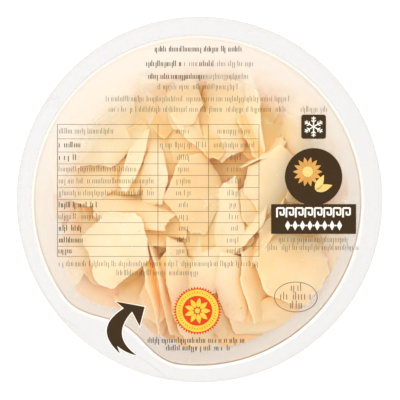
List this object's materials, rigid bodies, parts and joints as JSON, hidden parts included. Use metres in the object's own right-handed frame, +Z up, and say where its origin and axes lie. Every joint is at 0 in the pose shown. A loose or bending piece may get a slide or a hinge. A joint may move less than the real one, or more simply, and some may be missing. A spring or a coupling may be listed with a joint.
{
  "type": "tub of parmesan shavings",
  "caption": "Round clear tub of hard cheese shavings, sealed with a printed clear peel film that has a wavy peel corner.",
  "frame": {"origin": "under the middle of the round flange, on the surface that the tub's foot ring stands on", "axes": "+Z up out of the sealed film, +Y away from someone who reads the film with the peel corner at their lower left"},
  "size_m": [0.13, 0.13, 0.028],
  "materials": {
    "tub": "clear deep-drawn PET sheet, glossy",
    "film": "clear peel film, glossy, printed in dark brown and spot colours",
    "shavings": "dry waxy hard cheese, cream to straw yellow, with a satin cut face"
  },
  "bodies": {
    "root": {"tub": "tub", "film": "film", "shavings": "shavings"}
  },
  "joints": []
}
